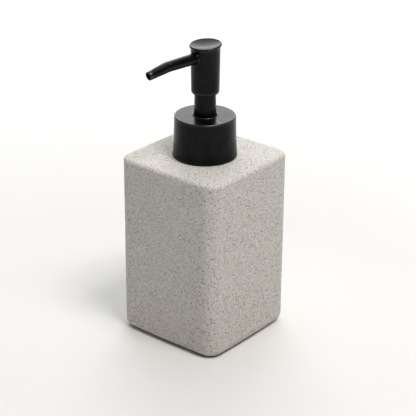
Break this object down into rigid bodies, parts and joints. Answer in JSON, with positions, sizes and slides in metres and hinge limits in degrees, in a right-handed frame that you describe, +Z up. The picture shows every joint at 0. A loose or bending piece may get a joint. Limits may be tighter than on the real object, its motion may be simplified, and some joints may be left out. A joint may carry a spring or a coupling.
{
  "type": "soap pump dispenser",
  "caption": "Square soft-cornered soap bottle in speckled matt stone with a black press pump, a curved spout and a dished thumb pad.",
  "frame": {"origin": "middle of the face the bottle stands on", "axes": "+Z up along the axis of the bottle, mouth and pump; -Y is the side the spout points to, within a few degrees"},
  "size_m": [0.07, 0.0754, 0.1703],
  "materials": {
    "speckled_stone": "matte",
    "satin_black": "satin",
    "moulded_black": "matte",
    "natural_plastic": "satin",
    "seal_plastic": "satin",
    "spring_steel": "polished",
    "pad_foam": "matte"
  },
  "bodies": {
    "bottle": {"bottle": "speckled_stone", "neck_insert": "moulded_black", "base_pad": "pad_foam"},
    "pump": {"pump_housing": "natural_plastic", "guide_sleeve": "satin_black", "neck_gasket": "seal_plastic", "dip_tube": "natural_plastic", "ball_retainer": "natural_plastic", "stem_wiper": "seal_plastic", "return_spring": "spring_steel"},
    "closure": {"closure": "moulded_black", "collar_shell": "satin_black"},
    "inlet_ball": {"inlet_ball": "spring_steel"},
    "piston": {"piston": "seal_plastic"},
    "stem_plug": {"stem_plug": "natural_plastic"},
    "head": {"stem": "moulded_black", "head_core": "moulded_black", "head_shell": "satin_black", "spout": "satin_black", "thumb_pad": "satin_black"}
  },
  "joints": [
    {"name": "pump_rise", "type": "slide", "parent": "bottle", "child": "pump", "axis": [0, 0, 1], "range_m": [0, 0.00635]},
    {"name": "closure_turn", "type": "hinge", "parent": "pump", "child": "closure", "pos_m": [0, 0, 0.11], "axis": [0, 0, 1], "range_deg": [0, 540]},
    {"name": "inlet_ball_lift", "type": "slide", "parent": "pump", "child": "inlet_ball", "axis": [0, 0, 1], "range_m": [0, 0.0015]},
    {"name": "head_press", "type": "slide", "parent": "pump", "child": "stem_plug", "axis": [0, 0, -1], "range_m": [0, 0.0105], "stiffness_N_per_m": 570, "springref_m": -0.014, "deforming": ["return_spring"]},
    {"name": "head_swivel", "type": "hinge", "parent": "stem_plug", "child": "head", "pos_m": [0, 0, 0.15], "axis": [0, 0, 1], "continuous": true},
    {"name": "piston_lag", "type": "slide", "parent": "stem_plug", "child": "piston", "axis": [0, 0, 1], "range_m": [0, 0.0012]}
  ],
  "couplings": [
    {"joint": "closure_turn", "follows": "pump_rise", "rad_per_m": 1484.2}
  ]
}
